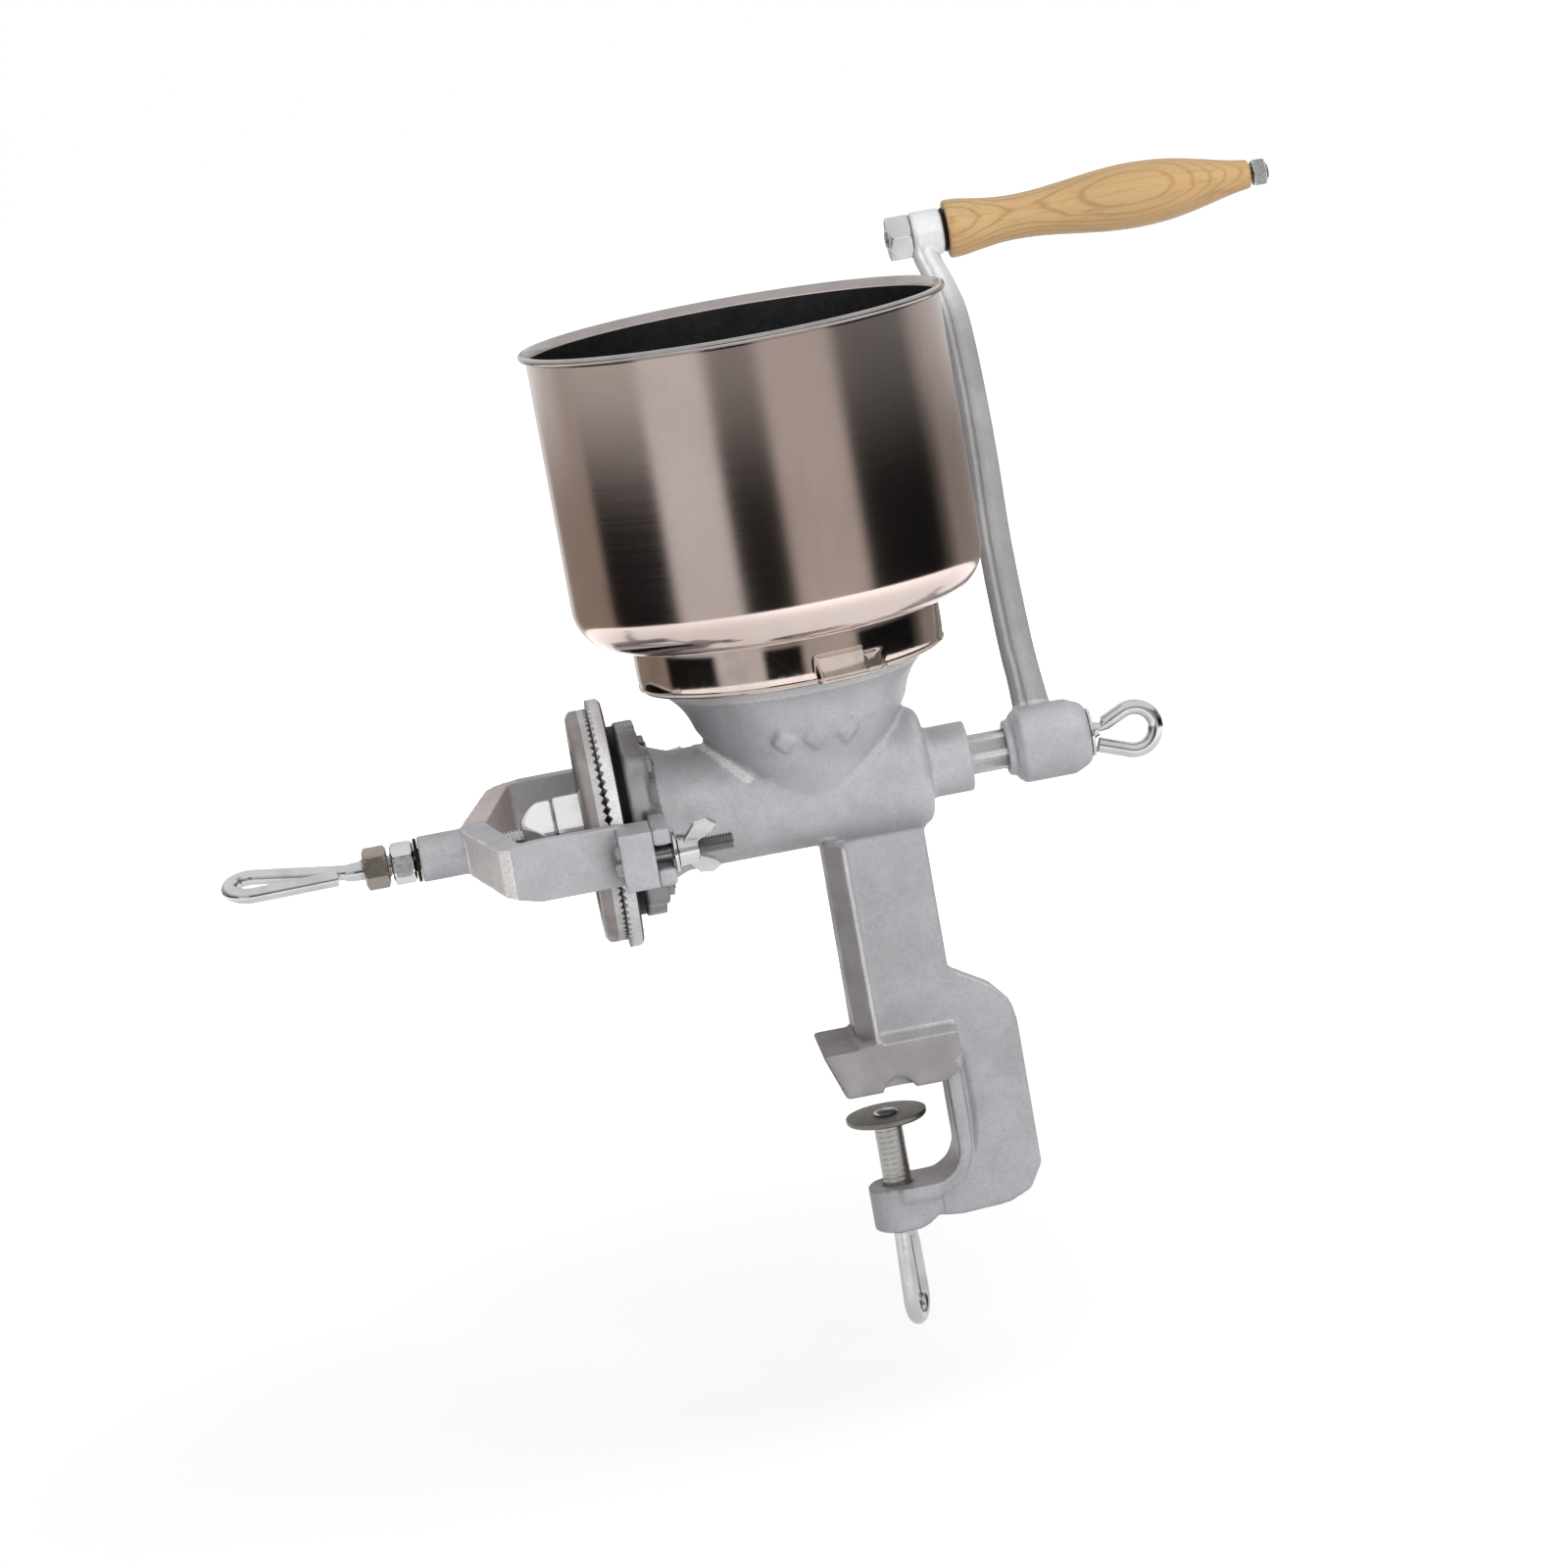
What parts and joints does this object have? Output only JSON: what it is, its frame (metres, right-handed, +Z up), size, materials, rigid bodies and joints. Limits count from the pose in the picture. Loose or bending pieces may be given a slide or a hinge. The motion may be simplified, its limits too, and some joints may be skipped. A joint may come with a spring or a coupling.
{
  "type": "hand crank grinder",
  "caption": "Hand crank nut grinder: steel hopper over a cast feed barrel, burr discs under a bolted yoke, a crank with a wooden grip, and a column with a table clamp.",
  "frame": {"origin": "on the seat of the upper clamp jaw, under the hopper's axis, where the mill stands on a table edge", "axes": "+X along the feed screw's shaft from the adjusting eye towards the crank, +Y towards the far side, +Z up"},
  "size_m": [0.4101, 0.1637, 0.3824],
  "materials": {
    "cast_body": "tin-plated casting, satin",
    "cast_burr": "tin-plated casting, satin",
    "bowl_steel": "spun stainless, fine circular brushing",
    "collar_steel": "polished",
    "bright_screw": "bright zinc plating",
    "steel_thread": "plain turned steel",
    "bright_nut": "bright nickel plating",
    "pad_steel": "dark stamped steel",
    "ring_dark": "dark oxide",
    "grip_wood": "lacquered hardwood"
  },
  "bodies": {
    "mill": {"mill_body": "cast_body", "fixed_burr": "cast_burr", "fixed_burr_screws": "steel_thread", "fixed_burr_nuts": "steel_thread", "yoke": "cast_body", "yoke_studs": "steel_thread"},
    "near_collar": {"near_washer": "bright_nut"},
    "near_nut": {"near_wing_nut": "bright_nut"},
    "far_collar": {"far_washer": "bright_nut"},
    "far_nut": {"far_wing_nut": "bright_nut"},
    "lock_ring": {"lock_washer": "ring_dark"},
    "lock_hex": {"lock_nut": "bright_nut"},
    "thrust": {"thrust_cup": "bright_screw", "thrust_ball": "bright_screw"},
    "adjuster": {"adjusting_screw": "bright_screw", "jam_nut": "bright_nut"},
    "rotor": {"auger": "cast_burr", "drive_pin": "steel_thread", "rotating_burr": "cast_burr", "burr_carrier": "cast_burr", "carrier_screws": "steel_thread", "crank_arm": "cast_body", "handle_bolt": "steel_thread", "handle_nut": "steel_thread", "handle_washer": "ring_dark", "end_nut": "bright_nut"},
    "handle": {"handle_grip": "grip_wood"},
    "crank_ring": {"crank_washer": "bright_nut"},
    "crank_eye": {"crank_screw": "bright_screw"},
    "pad": {"clamp_pad": "pad_steel"},
    "clamp_eye": {"clamp_screw": "bright_screw"},
    "hopper": {"hopper_bowl": "bowl_steel", "hopper_collar": "collar_steel"}
  },
  "joints": [
    {"name": "near_nut_travel", "type": "slide", "parent": "mill", "child": "near_collar", "axis": [1, 0, 0], "range_m": [0, 0.008]},
    {"name": "near_nut_turn", "type": "hinge", "parent": "near_collar", "child": "near_nut", "pos_m": [-0.049, -0.05595, 0.10556], "axis": [1, 0, 0], "range_deg": [0, 2880]},
    {"name": "far_nut_travel", "type": "slide", "parent": "mill", "child": "far_collar", "axis": [1, 0, 0], "range_m": [0, 0.008]},
    {"name": "far_nut_turn", "type": "hinge", "parent": "far_collar", "child": "far_nut", "pos_m": [-0.049, 0.05595, 0.11044], "axis": [1, 0, 0], "range_deg": [0, 2880]},
    {"name": "lock_nut_travel", "type": "slide", "parent": "mill", "child": "lock_ring", "axis": [-1, 0, 0], "range_m": [0, 0.000901]},
    {"name": "lock_nut_turn", "type": "hinge", "parent": "lock_ring", "child": "lock_hex", "pos_m": [-0.1438, 0, 0.108], "axis": [-1, 0, 0], "range_deg": [0, 259.2]},
    {"name": "adjust_travel", "type": "slide", "parent": "mill", "child": "thrust", "axis": [-1, 0, 0], "range_m": [0, 0.001]},
    {"name": "adjust_turn", "type": "hinge", "parent": "thrust", "child": "adjuster", "pos_m": [-0.15, 0, 0.108], "axis": [-1, 0, 0], "range_deg": [0, 289]},
    {"name": "crank_turn", "type": "hinge", "parent": "thrust", "child": "rotor", "pos_m": [0, 0, 0.108], "axis": [1, 0, 0], "continuous": true},
    {"name": "handle_spin", "type": "hinge", "parent": "rotor", "child": "handle", "pos_m": [0.14, 0.07728, 0.28157], "axis": [1, 0, 0], "continuous": true},
    {"name": "crank_screw_travel", "type": "slide", "parent": "rotor", "child": "crank_ring", "axis": [1, 0, 0], "range_m": [0, 0.009]},
    {"name": "crank_screw_turn", "type": "hinge", "parent": "crank_ring", "child": "crank_eye", "pos_m": [0.1, 0, 0.108], "axis": [1, 0, 0], "range_deg": [0, 2592]},
    {"name": "clamp_travel", "type": "slide", "parent": "mill", "child": "pad", "axis": [0, 0, -1], "range_m": [0, 0.019]},
    {"name": "clamp_turn", "type": "hinge", "parent": "pad", "child": "clamp_eye", "pos_m": [0.005, 0, -0.045], "axis": [0, 0, -1], "range_deg": [0, 3421]},
    {"name": "hopper_twist", "type": "hinge", "parent": "mill", "child": "hopper", "pos_m": [0, 0, 0.16], "axis": [0, 0, 1], "range_deg": [0, 14.5]}
  ],
  "couplings": [
    {"joint": "near_nut_travel", "follows": "near_nut_turn", "m_per_rad": 0.00015915},
    {"joint": "far_nut_travel", "follows": "far_nut_turn", "m_per_rad": 0.00015915},
    {"joint": "lock_nut_travel", "follows": "lock_nut_turn", "m_per_rad": 0.00019894},
    {"joint": "adjust_turn", "follows": "adjust_travel", "rad_per_m": 5026.5},
    {"joint": "crank_screw_travel", "follows": "crank_screw_turn", "m_per_rad": 0.00019894},
    {"joint": "clamp_turn", "follows": "clamp_travel", "rad_per_m": 3141.6}
  ]
}
